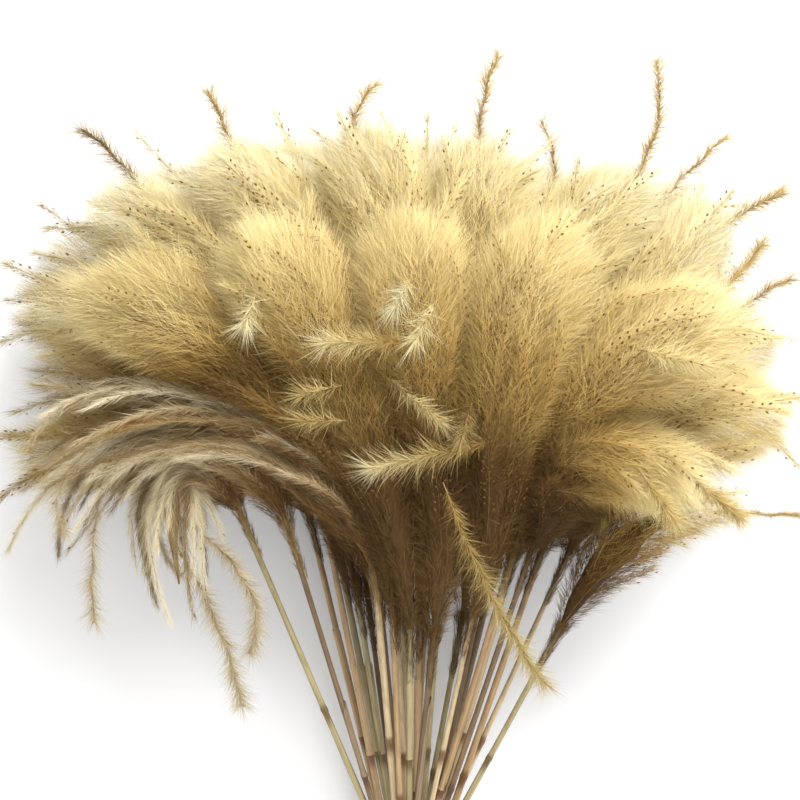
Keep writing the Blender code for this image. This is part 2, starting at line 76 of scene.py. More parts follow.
# The waist: its place and height, the share of the stems' spread along x and z that it starts
# from, and how that shrinks and is loosened at the end.
WAIST_X = 5.5
WAIST_LEVEL = BUTT_LENGTH * BUNDLE_SLOPE + 9 * STEM_RADIUS
WAIST_SQUASH = (0.30 * 0.9, 0.30 * 2.2)
PACKING_STEPS = 900
PACKING_SHRINK = 0.985
PACKING_SLACK = 1.03

# Stems with a torn leaf sheath, and how many sides and points along it a stem has.
SHEATHED = (*range(0, 27, 3), 1, 8, 22)
STEM_SIDES = 12
STEM_POINTS = 47

# foot: pixel x where the stem crosses FOOT_Y_PX. base: pixel y and height of the plume's foot.
# shoulder and tip of the plume: pixel x, pixel y and height in millimetres.
Stalk = namedtuple("Stalk", "foot base shoulder tip")

STALKS = [Stalk(*row) for row in (
    (351, (515, 35), (200, 410, 29), (30, 372, 24)),
    (366, (560, 35), (212, 330, 29), (40, 256, 26)),
    (380, (604, 34), (260, 278, 29), (132, 186, 27)),
    (405, (590, 34), (338, 258, 29), (268, 152, 28)),
    (421, (600, 34), (424, 252, 29), (428, 142, 28)),
    (449, (632, 35), (508, 266, 29), (576, 190, 28)),
    (465, (575, 34), (590, 300, 29), (688, 190, 27)),
    (505, (560, 35), (650, 376, 28), (784, 342, 24)),
    (359, (520, 64), (186, 440, 76), (22, 462, 68)),
    (373, (592, 62), (190, 360, 88), (26, 304, 84)),
    (390, (572, 66), (236, 288, 92), (96, 210, 92)),
    (400, (604, 65), (302, 254, 94), (206, 168, 96)),
    (418, (616, 65), (384, 244, 94), (352, 144, 98)),
    (432, (598, 66), (464, 252, 94), (498, 160, 98)),
    (459, (570, 68), (548, 282, 93), (638, 188, 96)),
    (475, (560, 67), (630, 330, 90), (716, 212, 90)),
    (492, (552, 65), (662, 420, 80), (786, 424, 70)),
    (320, (510, 101), (158, 456, 116), (196, 668, 70)),
    (341, (530, 101), (150, 414, 134), (58, 552, 98)),
    (386, (585, 92), (186, 400, 144), (26, 496, 120)),
    (396, (606, 92), (222, 350, 150), (86, 300, 144)),
    (410, (628, 90), (312, 338, 156), (252, 250, 172)),
    (427, (640, 89), (408, 334, 156), (412, 234, 172)),
    (454, (618, 92), (500, 344, 156), (556, 236, 172)),
    (469, (556, 97), (600, 370, 150), (726, 318, 144)),
    (521, (634, 84), (640, 520, 114), (738, 510, 98)),
    (481, (548, 99), (574, 436, 148), (694, 496, 122)),
)]

# Racemes that stand clear of the head: the plume's number, the middle and the tip as above, and
# the length of their silk as a share of the usual. Where no foot is given, it is on the plume's
# centre line. Of those with a foot, the ones with longer silk than usual are pale.
Stray = namedtuple("Stray", "plume middle tip silk foot", defaults=(None,))

STRAYS = [Stray(*row) for row in (
    (17, (224, 640, 96), (240, 708, 74), 0.75),
    (18, (96, 560, 116), (96, 620, 98), 0.7),
    (19, (62, 508, 126), (70, 532, 116), 0.7),
    (17, (254, 596, 112), (250, 654, 90), 0.7),
    (22, (492, 596, 134), (545, 684, 100), 0.95, (442, 480, 152)),
    (23, (436, 452, 166), (372, 466, 164), 1.1, (490, 440, 160)),
    (22, (366, 344, 186), (326, 346, 190), 1.1, (420, 346, 180)),
    (25, (764, 514, 94), (800, 515, 90), 0.35),
    (14, (657, 118, 98), (655, 62, 98), 0.65),
    (13, (484, 98, 98), (497, 58, 98), 0.65),
    (11, (222, 120, 96), (210, 94, 98), 0.65),
    (12, (360, 106, 98), (376, 86, 98), 0.65),
    (10, (106, 148, 90), (84, 130, 92), 0.65),
    (15, (752, 208, 90), (782, 193, 90), 0.7),
    (5, (556, 142, 34), (545, 115, 34), 0.65),
    (6, (712, 150, 32), (735, 130, 32), 0.65),
    (24, (742, 268, 104), (764, 243, 84), 0.65),
    (7, (776, 288, 34), (800, 276, 34), 0.65),
)]

# Short racemes that stand out of the head towards the viewer: the plume's number, the pixels of
# the foot and of the tip, how far the tip stands up, the length of the silk, and how much paler
# it is than the silk round it.
Tuft = namedtuple("Tuft", "plume foot tip lift silk tone")

TUFTS = [Tuft(*row) for row in (
    (21, (262, 298), (252, 330), 9.0, 1.0, 0.17),
    (22, (410, 284), (394, 314), 9.0, 1.0, 0.20),
    (22, (436, 304), (414, 344), 10.0, 1.0, 0.13),
    (22, (386, 376), (442, 424), 9.0, 0.8, 0.05),
    (21, (344, 386), (304, 396), 8.0, 0.95, -0.02),
    (21, (348, 420), (304, 420), 8.0, 0.95, -0.05),
    (23, (470, 402), (458, 440), 8.0, 0.8, -0.06),
    (24, (626, 350), (690, 366), 7.0, 0.95, 0.06),
    (26, (636, 474), (664, 516), 4.0, 0.9, 0.04),
    (26, (684, 478), (726, 512), 4.0, 0.9, 0.04),
)]

# How a plume's silk grows. racemes and hairs: how many. haze: the share of the hairs that stand
# between the racemes. shade: the haze's tone, which holds painted shade: the lower layers are set
# darker than the top one, and the beige plumes darkest, for the shadow between their strands.
# length: the hairs'. lean and spread: the hairs' angle, in radians, and how much it varies.
# patchy: how much racemes differ in tone. husk_step: from one husk to the next. body: how far
# the dense inside reaches. stuff: the material.
Silk = namedtuple("Silk", "racemes hairs haze shade length lean spread patchy husk_step body stuff")

TOP = Silk(26, 40000, 0.60, 0.80, 13.5, 0.44, 0.36, 0.08, 2.8, 0.60, "fluff_gold")
GOLD = Silk(19, 32500, 0.62, 0.74, 13.5, 0.44, 0.36, 0.08, 2.9, 0.60, "fluff_gold")
LOW = Silk(12, 18500, 0.66, 0.68, 13.5, 0.42, 0.33, 0.08, 5.2, 0.62, "fluff_gold")
BEIGE = Silk(44, 35000, 0.14, 0.24, 11.5, 0.29, 0.23, 0.36, 15.0, 0.42, "fluff_beige")
SMALL = Silk(9, 11000, 0.50, 0.50, 9.0, 0.40, 0.22, 0.08, 5.2, 0.50, "fluff_gold")

# path: its points, with the directions ahead, side and up at each. place: their shares of the
# plume's length. silk: the hairs' length and crowd their number, as shares of the usual. tint: how
# much paler they are. coarse: how much wider. open_out: how much further they lean.
Raceme = namedtuple("Raceme", "path ahead side up place length tint silk crowd coarse open_out",
                    defaults=(1.0, 1.0, 1.0, 1.0))

# The plumes' silk, from the lowest layer to the top one. Its last two, 25 and 26 from 0, stand
# apart from the head, and the very last one's silk stays brown for longer.
SILKS = [LOW] * 8 + [GOLD] * 9 + [BEIGE] * 3 + [TOP] * 5 + [SMALL, TOP]
APART = (25, 26)
LATE_PLUME = 26
LATE_POWER = 1.7

# A plume's centre line has this many steps. How far its solid reaches is measured at these shares
# of it, at this many angles round it, and kept within the limits of ROOM.
PLUME_STEPS = 60
STATIONS = np.linspace(0.0, 1.0, 31)
ANGLES = 24
ROOM = (1.5, 42.0)

HAIR_WIDTH = 0.17
# How far the map's corners of a hair are from its place and tone.
HAIR_SPOT = np.array([[0.0, -0.008], [0.0, 0.008], [0.14, 0.0]])
HUSK_LENGTH = 2.35
HUSK_RADIUS = 0.60
AXIS_RADII = (0.40, 0.13)
# Husks stand only past this share of the plume's length.
BARE = 0.27
# Silk pales with the distance from the head's heart, up to the head's reach, as its tips do; the
# browner middle is partly painted shade of the head's recess.
HEART = (0.0, 120.0)
HEAD_REACH = 250.0
# Painted shade in the hollows of the head, where the silk is made browner and darker: the middle
# and the reach along x and y.
HOLLOW_SHADES = ((-92.0, 249.0, 48.0, 13.0), (34.0, 192.0, 46.0, 26.0))
# Painted shade on the left of the head, away from the key light: how far left that starts, how
# soon it is full, and how much it is.
LEFT_SHADE_START = 110.0
LEFT_SHADE_WIDTH = 60.0
LEFT_SHADE_DEPTH = 0.26
# The brown hairs down the stem below a plume: how many, and how far down.
HEM_HAIRS = 700
HEM_LENGTH = 32.0
# The place of a tuft's silk along a plume, as its colour has it, before its tone is added.
TUFT_PLACE = 0.76

# The map's second coordinate tells a plume's parts apart: husks are below HUSK_BAND, the axes of
# racemes below AXIS_BAND, and above that it is the tone of the silk, kept within TONES.
HUSK_BAND = 0.07
AXIS_BAND = 0.13
HUSK_V = 0.03
AXIS_V = (0.085, 0.115)
TONES = (0.17, 0.97)


# Skeleton, as in the solids.


def photo_point(x_px, y_px, height):
    return np.array([(x_px - MIDDLE_X_PX) * MM_PER_PX, (TIE_Y_PX - y_px) * MM_PER_PX, height])


STEM_RADII = np.array([STEM_RADIUS * (1.0 + 0.13 * math.sin(2.4 * number)) for number in range(27)])


def foot_points():
    """Where the stems cross the row of pixels FOOT_Y_PX."""
    above_tie = (TIE_Y_PX - FOOT_Y_PX) * MM_PER_PX
    feet = []
    for stalk in STALKS:
        base_y, height = stalk.base
        reach = (TIE_Y_PX - base_y) * MM_PER_PX
        height = WAIST_LEVEL + (height - WAIST_LEVEL) * above_tie / reach
        feet.append(photo_point(stalk.foot, FOOT_Y_PX, height))
    return np.array(feet)


def waist_points():
    """The stems' places in the tie, x and z: the feet's, drawn together until they touch."""
    spots = foot_points()[:, [0, 2]]
    offsets = (spots - spots.mean(axis=0)) * WAIST_SQUASH
    for _ in range(PACKING_STEPS):
        offsets *= PACKING_SHRINK
        for one in range(len(offsets)):
            apart = offsets - offsets[one]
            distance = norm(apart, axis=1)
            distance[one] = math.inf
            wanted = STEM_RADII + STEM_RADII[one] + CLEARANCE
            close = distance < wanted
            push = ((wanted - distance)[close] / distance[close])[:, None]
            push = apart[close] * push * 0.5
            offsets[close] += push
            offsets[one] -= push.sum(axis=0)
    return offsets * PACKING_SLACK


def stem_lines():
    """Each stem's points: its cut end, three round the tie, one on its way and its plume's foot."""
    waist = waist_points()
    butt_level = (STEM_RADII - waist[:, 1] * BUTT_FLARE).max()
    tie_level = butt_level + BUTT_LENGTH * BUNDLE_SLOPE
    lines = []
    for number, (stalk, foot, (x, z)) in enumerate(zip(STALKS, foot_points(), waist)):
        cut = BUTT_LENGTH - UNEVEN_CUT - UNEVEN_CUT * math.sin(1.7 * number)
        tie = np.array([WAIST_X + x, 0.0, tie_level + z])
        level = tie_level - cut * BUNDLE_SLOPE + z * BUTT_FLARE
        butt = np.array([WAIST_X + x * BUTT_FLARE, -cut, level])
        reach = (TIE_Y_PX - stalk.base[0]) * MM_PER_PX
        base = tie + (foot - tie) * reach / foot[1]
        base[2] = stalk.base[1]
        onward = [tie + (base - tie) * share for share in (0.10, 0.55)]
        lines.append(np.array([butt, butt + (tie - butt) * 0.93, tie, *onward, base]))
    return lines


def plume_line(stem, stalk):
    """The plume's centre line, which leaves the stem along it and passes near its shoulder."""
    away = unit(stem[-1] - stem[-2])
    start = stem[-1] + away * CLEARANCE
    shoulder = photo_point(*stalk.shoulder)
    tip = photo_point(*stalk.tip)
    first = start + away * norm(shoulder - start) * 0.55
    second = shoulder + (shoulder - 0.5 * (start + tip)) * 0.45
    t = steps(PLUME_STEPS + 1)
    line = (1 - t) ** 3 * start + 3 * (1 - t) ** 2 * t * first
    return line + 3 * (1 - t) * t**2 * second + t**3 * tip


def unit(vectors):
    return vectors / np.maximum(norm(vectors, axis=-1, keepdims=True), 1e-9)


def frames(line):
    """Directions along a line and two across it, which turn no more than the line does."""
    ahead = unit(np.gradient(line, axis=0))
    side = unit(np.cross(ahead, UP if abs(ahead[0, 2]) < 0.9 else np.array([1.0, 0.0, 0.0])))
    for number in range(1, len(line)):
        last = side[number - 1]
        side[number] = unit(last - ahead[number] * (last @ ahead[number]))
    return ahead, side, np.cross(side, ahead)


def turned(one, other, turns):
    """Directions between two that are square to each other, at these turns from the first."""
    return np.cos(turns)[..., None] * one + np.sin(turns)[..., None] * other


def steps(count):
    """Even steps from 0 to 1, one below the other."""
    return np.linspace(0.0, 1.0, count)[:, None]


def arc(foot, bend, tip, count):
    """A curve from the foot towards the bend and round to the tip."""
    t = steps(count)
    return (1 - t) ** 2 * foot + 2 * (1 - t) * t * bend + t**2 * tip


def between(line, own, stops):
    """Points of a line at these stops, where own has the stops of its points."""
    return np.stack([np.interp(stops, own, line[:, axis]) for axis in range(3)], axis=-1)


def along(line, shares):
    """Points of a line at these shares of it, where its own points count as evenly spread."""
    return between(line, np.linspace(0.0, 1.0, len(line)), shares)


def lengths_to(line):
    """The line's length up to each of its points."""
    return np.concatenate([[0.0], np.cumsum(norm(np.diff(line, axis=0), axis=1))])


def length_of(line):
    return norm(np.diff(line, axis=0), axis=1).sum()


def evenly(line, count):
    """The same line with points at equal steps of its length."""
    lengths = lengths_to(line)
    return between(line, lengths, np.linspace(0.0, lengths[-1], count))


def softened(line, rounds=2):
    """A line or table whose inner rows are drawn to the middle of their neighbours."""
    for _ in range(rounds):
        line[1:-1] = 0.25 * line[:-2] + 0.5 * line[1:-1] + 0.25 * line[2:]
    return line


# Meshes.


def quads(rows, columns, closed=False):
    """Two triangles for each quad of a grid of points, whose rows may close."""
    here = np.arange(columns if closed else columns - 1)[None, :]
    after = (here + 1) % columns
    low = np.arange(rows - 1)[:, None] * columns
    a, b, c, d = low + here, low + after, low + columns + after, low + columns + here
    pairs = np.concatenate([np.stack([a, b, c], -1), np.stack([a, c, d], -1)], axis=1)
    return pairs.reshape(-1, 3)


def fans(rows, sides):
    """Triangles that close a tube's two ends, at two points that follow the tube's own."""
    ring = np.arange(sides)
    after = (ring + 1) % sides
    middle, end = rows * sides, (rows - 1) * sides
    low = np.stack([np.full(sides, middle), after, ring], -1)
    return np.concatenate([low, np.stack([np.full(sides, middle + 1), end + ring, end + after], -1)])


def speck(wide, tall):
    """The map's corners of a triangle that takes up very little of it."""
    return np.array([[0.0, 0.0], [wide, 0.0], [0.0, tall]])


def put(name, data):
    """A new object in the scene."""
    obj = bpy.data.objects.new(name, data)
    bpy.context.scene.collection.objects.link(obj)
    return obj


class Sheaf:
    """Triangles gathered for one piece, with a map coordinate at each corner."""

    def __init__(self):
        self.points, self.faces, self.uvs, self.normals, self.count = [], [], [], [], 0

    def add(self, points, faces, uvs, normals=None):
        """Where normals are left out, they follow the faces."""
        self.points.append(points)
        self.faces.append(faces + self.count)
        self.uvs.append(uvs)
        self.normals.append(np.zeros((len(points), 3)) if normals is None else normals)
        self.count += len(points)

    def tube(self, line, radii, sides, uv_low, uv_high, caps=False):
        """A tube through the line. uv_low and uv_high are the map's corners: round it, along it."""
        _, side, up = frames(line)
        out = turned(side[:, None], up[:, None], np.linspace(0.0, math.tau, sides, endpoint=False))
        points = line[:, None] + out * np.broadcast_to(radii, len(line))[:, None, None]
        points = points.reshape(-1, 3)
        faces = quads(len(line), sides, closed=True)
        spots = np.meshgrid(np.linspace(0.0, 1.0, sides + 1), np.linspace(0.0, 1.0, len(line)))
        uvs = np.stack(spots, -1).reshape(-1, 2)[quads(len(line), sides + 1)]
        if caps:
            points = np.concatenate([points, line[:1], line[-1:]])
            faces = np.concatenate([faces, fans(len(line), sides)])
            uvs = np.concatenate([uvs, np.tile(speck(0.03, 0.03), (sides * 2, 1, 1))])
        self.add(points, faces, uv_low + uvs * np.subtract(uv_high, uv_low))

    def piece(self, name, stuff, slot, replaced, smooth=False):
        points = (np.concatenate(self.points) + SHIFT) * MM
        points[:, 2] = np.maximum(points[:, 2], LOWEST)
        faces = np.concatenate(self.faces).astype(np.int32)
        uvs = np.concatenate(self.uvs).astype(np.float32)
        mesh = bpy.data.meshes.new(name)
        mesh.vertices.add(len(points))
        mesh.vertices.foreach_set("co", points.astype(np.float32).ravel())
        mesh.loops.add(faces.size)
        mesh.loops.foreach_set("vertex_index", faces.ravel())
        mesh.polygons.add(len(faces))
        mesh.polygons.foreach_set("loop_start", np.arange(0, faces.size, 3, dtype=np.int32))
        mesh.polygons.foreach_set("use_smooth", np.full(len(faces), smooth))
        for title in ("palette", "OFBake"):
            mesh.uv_layers.new(name=title).uv.foreach_set("vector", uvs.ravel())
        mesh.update(calc_edges=True)
        mesh.validate()
        normals = np.concatenate(self.normals)
        if normals.any():
            mesh.normals_split_custom_set_from_vertices(normals.astype(np.float32))
        mesh.materials.append(stuff)
        obj = put(name, mesh)
        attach(obj, "root")
        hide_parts(replaced)


# Plumes.


class Plume:
    """One plume: a dense inside, racemes dotted with husks, and silk on and between them."""

    def __init__(self, number, line):
        self.number = number
        self.line = line
        self.silk = SILKS[number]
        self.rng = np.random.default_rng(7100 + number)
        self.ahead, self.side, self.up = frames(line)
        self.sheaf = Sheaf()
        self.solid_points, self.solid_faces = self.read_solid()
        self.tree = BVHTree.FromPolygons([Vector(p) for p in self.solid_points], self.solid_faces)
        self.room = self.measure_room()
        self.locks = [self.soft_table() for _ in range(3)]
        self.racemes = []
        # Plumes whose tips lie far to the left get painted shade, all but the beige ones.
        left = np.clip(-(line[-1, 0] + LEFT_SHADE_START) / LEFT_SHADE_WIDTH, 0.0, 1.0)
        self.left_shade = 0.0 if self.silk is BEIGE else LEFT_SHADE_DEPTH * left

    def read_solid(self):
        """The plume's solid, in millimetres from the tie."""
        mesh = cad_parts[f"plume_{self.number + 1:02d}"].data
        points = np.array([vert.co[:] for vert in mesh.vertices]) / MM - SHIFT
        return points, [tuple(face.vertices) for face in mesh.polygons]

    def measure_room(self):
        """How far the solid reaches from the centre line, at each station and angle."""
        room = []
        for share in STATIONS:
            at = int(round(share * PLUME_STEPS))
            out = turned(self.side[at], self.up[at], math.tau * np.arange(ANGLES) / ANGLES)
            hits = [self.tree.ray_cast(Vector(self.line[at]), Vector(away))[3] for away in out]
            room.append([3.0 if far is None else far for far in hits])
        room = np.clip(room, *ROOM)
        for _ in range(2):
            room = softened(room, 1)
            room = 0.25 * np.roll(room, 1, 1) + 0.5 * room + 0.25 * np.roll(room, -1, 1)
        return room

    def soft_table(self):
        """Smooth random values over the plume, drawn out along it, for its locks."""
        table = softened(self.rng.normal(0.0, 1.0, (len(STATIONS), ANGLES)), 5)
        table = 0.25 * np.roll(table, 1, 1) + 0.5 * table + 0.25 * np.roll(table, -1, 1)
        return np.clip(table / table.std(), -2.0, 2.0)

    def sample(self, table, shares, turns):
        """A table's value at these shares of the plume and turns round it, between its cells."""
        rows = np.clip(shares, 0, 1) * (len(STATIONS) - 1)
        columns = (turns / math.tau % 1.0) * ANGLES
        r0 = np.clip(rows.astype(int), 0, len(STATIONS) - 2)
        c0 = columns.astype(int) % ANGLES
        c1 = (c0 + 1) % ANGLES
        fr, fc = rows - r0, columns - np.floor(columns)
        low = table[r0, c0] * (1 - fc) + table[r0, c1] * fc
        high = table[r0 + 1, c0] * (1 - fc) + table[r0 + 1, c1] * fc
        return low * (1 - fr) + high * fr

    def reach(self, shares, turns):
        return self.sample(self.room, shares, turns)

    def raceme(self, order):
        """A raceme that leaves the rachis, runs along the plume's outside and ends free."""
        rng = self.rng
        step = order / (self.silk.racemes - 1)
        start = 0.01 + 0.46 * step**1.2 + rng.uniform(-0.01, 0.02)
        end = min(start + rng.uniform(0.36, 0.60), rng.uniform(0.90, 1.0))
        turn = math.tau * (GOLDEN * order + 0.37 * self.number) + rng.uniform(-0.25, 0.25)
        depth = rng.uniform(0.99, 1.06) if order % 4 else rng.uniform(0.72, 0.84)
        t = np.linspace(0.0, 1.0, 16)
        shares = start + (end - start) * t
        turns = turn + rng.uniform(-0.40, 0.40) * t
        far = self.reach(shares, turns) * depth * (1 - (1 - t) ** 4.0)
        far += rng.uniform(0.5, 1.6) * t * np.sin(t * rng.uniform(4, 9) + rng.uniform(0, 6))
        far += 1.4 * t + rng.uniform(0.0, 3.0) * t**6
        self.dress(along(self.line, shares) + outward(self, shares, turns) * far[:, None],
                   shares, depth=depth)

    def nearest_share(self, point):
        return norm(self.line - point, axis=1).argmin() / PLUME_STEPS

    def stray_raceme(self, stray):
        """A raceme through the stray's middle to its tip."""
        middle, tip = photo_point(*stray.middle), photo_point(*stray.tip)
        start = max(self.nearest_share(middle) - 0.16, 0.03)
        foot = photo_point(*stray.foot) if stray.foot else along(self.line, start)
        first = norm(middle - foot)
        at = first / (first + norm(tip - middle))
        t = steps(25)
        path = foot * (t - at) * (t - 1) / at + middle * t * (t - 1) / (at * (at - 1))
        path = path + tip * t * (t - at) / (1 - at)
        kinks = np.sin(t * 20.0 + self.number) * 0.6 * t * (1.15 - t) * 3
        path = path + kinks * unit(np.cross(tip - foot, UP))
        if stray.foot:
            pale = stray.silk > 1.0
            place = 0.48 + 0.46 * t[:, 0] if pale else 0.58 + 0.25 * t[:, 0]
            self.dress(path, place, silk=stray.silk, open_out=1.7, crowd=3.4,
                       tint=0.10 if pale else -0.06, coarse=1.5)
        elif self.silk is BEIGE:
            self.dress(path, 0.50 + 0.15 * t[:, 0], silk=1.3 * stray.silk, open_out=2.8, crowd=1.6,
                       tint=-0.05, coarse=1.3)
        else:
            self.dress(path, 0.55 + 0.20 * t[:, 0], silk=1.5 * stray.silk, open_out=1.9, crowd=3.0,
                       tint=-0.20, coarse=1.3)

    def finger_tips(self):
        """The small square ends of the solid's fingers."""
        points, faces = self.solid_points, np.array(self.solid_faces)
        a, b, c = (points[faces[:, corner]] for corner in range(3))
        areas = 0.5 * norm(np.cross(b - a, c - a), axis=1)
        small = 2.0
        middles = (a + b + c)[areas < small] / 3.0
        clear = norm(middles - self.line[0], axis=1) > 8
        clear &= norm(middles - self.line[-1], axis=1) > 6
        tips = []
        for middle in middles[clear]:
            near = [tip for tip in tips if norm(tip - middle) < 3.0]
            own = [stray for stray in STRAYS if stray.plume == self.number
                   and norm(photo_point(*stray.tip) - middle) < 5.0]
            if not near and not own:
                tips.append(middle)
        return tips

    def finger_raceme(self, tip):
        """A raceme from the plume's centre line out to the end of one of its fingers."""
        start = max(self.nearest_share(tip) - self.rng.uniform(0.34, 0.5), 0.03)
        foot = along(self.line, start)
        ahead = unit(along(self.ahead, start))
        bend = foot + ahead * norm(tip - foot) * 0.55
        place = start + (min(start + 0.6, 1.0) - start) * np.linspace(0.0, 1.0, 16)
        crowd, open_out = (2.2, 1.5) if self.silk is BEIGE else (1.5, 1.0)
        self.dress(arc(foot, bend, tip, 16), place, crowd=crowd, open_out=open_out)

    def tuft_raceme(self, tuft):
        """A short raceme that stands out of the plume's upper side, towards the viewer."""
        above = 260.0
        foot, tip = photo_point(*tuft.foot, above), photo_point(*tuft.tip, above)
        level = self.tree.ray_cast(Vector(foot), Vector(-UP))[0][2]
        foot[2], tip[2] = level - 4.0, level + tuft.lift
        bend = 0.5 * (foot + tip) + UP * tuft.lift * 0.4
        self.dress(arc(foot, bend, tip, 12), np.full(12, TUFT_PLACE + tuft.tone), silk=tuft.silk,
                   crowd=3.2, tint=tuft.tone, coarse=1.6, open_out=1.6)

    def grow(self):
        self.grow_rachis()
        self.grow_body()
        for tip in self.finger_tips():
            self.finger_raceme(tip)
        for stray in STRAYS:
            if stray.plume == self.number:
                self.stray_raceme(stray)
        for tuft in TUFTS:
            if tuft.plume == self.number:
                self.tuft_raceme(tuft)
        for order in range(self.silk.racemes):
            self.raceme(order)
        haze = int(self.silk.hairs * self.silk.haze)
        self.grow_haze(haze)
        weights = np.array([raceme.length * raceme.crowd for raceme in self.racemes])
        counts = (self.silk.hairs - haze) * weights / weights.sum()
        self.grow_hem()
        for raceme, count in zip(self.racemes, counts.astype(int)):
            self.grow_axis(raceme)
            self.grow_husks(raceme)
            self.comb(raceme, count)

    def grow_rachis(self):
        """The stem's end, which runs on through three quarters of the plume."""
        line = self.line[:46:3]
        low, high = (0.05, AXIS_V[0]), (0.6, AXIS_V[1])
        self.sheaf.tube(line, np.linspace(1.35, 0.45, len(line)), 6, low, high)

    def grow_body(self):
        """The dense inside of the plume, which shows only between the silk. Its tone is set darker than
        the haze's, as painted shade.
        """
        rng = self.rng
        rings, sides = 22, 16
        turns = math.tau * np.arange(sides) / sides
        turns, shares = np.meshgrid(turns, np.linspace(0.0, 0.88, rings))
        far = self.reach(shares, turns) * self.silk.body
        far = far * np.minimum(1.0, (0.90 - shares) * 2.6) * np.minimum(1.0, 0.3 + shares * 6.0)
        far = far * (1.0 + rng.normal(0.0, 0.08, far.shape))
        out = outward(self, shares, turns)
        points = along(self.line, shares) + out * far[..., None]
        ends = along(self.line, shares[[0, -1], 0])
        faces = np.concatenate([quads(rings, sides, closed=True), fans(rings, sides)])
        u = 0.03 + 0.50 * shares
        # Painted shade: the inside is darker than the haze round it.
        v = self.silk.shade - 0.30 + 0.16 * np.abs(2.0 * np.arange(sides) / sides - 1.0)
        corner = np.stack(np.broadcast_arrays(u, v), -1).reshape(-1, 2)
        corner = np.concatenate([corner, [[0.04, 0.3], [0.5, 0.3]]])
        points = np.concatenate([points.reshape(-1, 3), ends])
        self.sheaf.add(points, faces, corner[faces])

    def dress(self, path, place, depth=1.0, **traits):
        """Adds a raceme along this path. Where its tint is left out, it is drawn at random, and a raceme
        that lies deeper is made darker, as painted shade.
        """
        if "tint" not in traits:
            # Deeper racemes are darker: painted shade.
            tint = self.silk.patchy * self.rng.choice((-1.3, -0.7, 0.8, 1.0)) - 0.9 * (1.0 - depth)
            traits["tint"] = tint
        self.racemes.append(Raceme(path, *frames(path), place, length_of(path), **traits))

    def grow_axis(self, raceme):
        radii = np.linspace(*AXIS_RADII, len(raceme.path))
        low, high = (raceme.place[0], AXIS_V[0]), (raceme.place[-1], AXIS_V[1])
        self.sheaf.tube(raceme.path[::3], radii[::3], 3, low, high)

    def grow_husks(self, raceme):
        """Husks stand in two ranks along the raceme."""
        rng = self.rng
        count = max(int(raceme.length / self.silk.husk_step), 3)
        at = np.linspace(0.10, 0.95, count) + rng.uniform(-0.3, 0.3, count) / count
        place = np.interp(at, np.linspace(0, 1, len(raceme.place)), raceme.place)
        at, place = at[place > BARE], place[place > BARE]
        count = len(at)
        turns = np.arange(count) * math.pi + rng.uniform(0, 6.3) + rng.uniform(-0.7, 0.7, count)
        out = outward(raceme, at, turns)
        spots = along(raceme.path, at)
        rise = unit(spots - along(self.line, place))
        pointing = unit(along(raceme.ahead, at) + out * rng.uniform(0.2, 0.5, count)[:, None])
        size = rng.uniform(0.7, 1.15, count)[:, None]
        clear = 0.5 if self.silk is BEIGE or raceme.coarse > 1.0 else 4.2
        above = 0.4 * rise + 0.7 * UP * np.maximum(rise[:, 2:], 0.0)
        foot = spots + out * 0.5 * clear + above * clear * (1.0 - 0.7 * at[:, None])
        tip = foot + pointing * HUSK_LENGTH * size
        middle = foot + pointing * HUSK_LENGTH * 0.42 * size
        side = unit(np.cross(pointing, rise))
        over = np.cross(side, pointing)
        ring = [middle + HUSK_RADIUS * size * part for part in (side, over, -side)]
        points = np.stack([foot, *ring, tip], axis=1).reshape(-1, 3)
        shape = np.array([[0, 1, 2], [0, 2, 3], [4, 2, 1], [4, 3, 2]])
        faces = (np.arange(count)[:, None, None] * 5 + shape).reshape(-1, 3)
        u = rng.uniform(0.05, 0.95, count)[:, None, None, None]
        uvs = np.concatenate([u, np.full_like(u, HUSK_V)], axis=-1) + speck(0.02, 0.02)
        self.sheaf.add(points, faces, np.broadcast_to(uvs, (count, 4, 3, 2)).reshape(-1, 3, 2))

    def pallor_and_shade(self, foot, shares):
        """How pale the hairs here are: silk pales towards the outside of the head, as its tips do, and
        its browner middle is partly painted shade. The top plumes are held a little less pale, as
        painted shade against the key light.
        """
        if self.silk is BEIGE or self.number in APART:
            return shares
        away = norm(foot[:, :2] - HEART, axis=1) / HEAD_REACH
        # Painted shade: the top plumes are kept a little less pale.
        away *= 0.94 if self.silk is TOP else 1.0
        return 0.25 * shares + 0.75 * np.clip(away, 0.0, 1.05)

    def paint_hollow_shade(self, foot, place, level):
        """Painted shade: browner and darker in the hollows of the head."""
        if self.silk is BEIGE:
            return place, level
        for x, y, wide, tall in HOLLOW_SHADES:
            near = np.exp(-(((foot[:, 0] - x) / wide) ** 2) - ((foot[:, 1] - y) / tall) ** 2)
            place, level = place - 0.22 * near, level - 0.20 * near
        return np.maximum(place, 0.0), level

